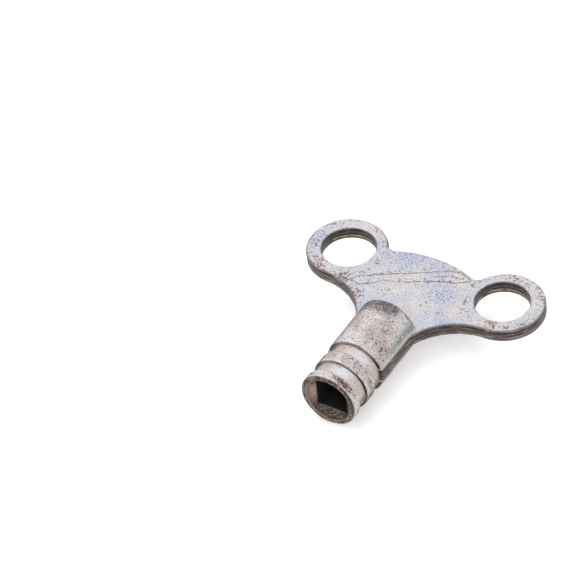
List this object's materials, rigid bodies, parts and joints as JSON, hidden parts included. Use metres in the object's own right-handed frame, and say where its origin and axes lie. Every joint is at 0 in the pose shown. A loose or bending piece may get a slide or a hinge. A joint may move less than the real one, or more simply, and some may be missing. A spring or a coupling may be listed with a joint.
{
  "type": "radiator bleed key",
  "caption": "Bleed key for radiator air valves: a flat wing with finger eyes, brazed to a collared round barrel with a square socket.",
  "frame": {"origin": "centre of the socket's mouth, where the valve's square enters", "axes": "+Y runs along the barrel from the socket's mouth to the wing, +X lies across the wing from eye to eye, +Z is the normal of the plate, whose middle plane is z = 0"},
  "size_m": [0.0404, 0.0355, 0.0096],
  "materials": {
    "wing_metal": "dull worn plating",
    "barrel_metal": "worn plating with brown stains",
    "braze_metal": "plated braze with a green tarnish"
  },
  "bodies": {
    "root": {"wing_plate": "wing_metal", "socket_barrel": "barrel_metal", "upper_braze": "braze_metal", "lower_braze": "braze_metal"}
  },
  "joints": []
}
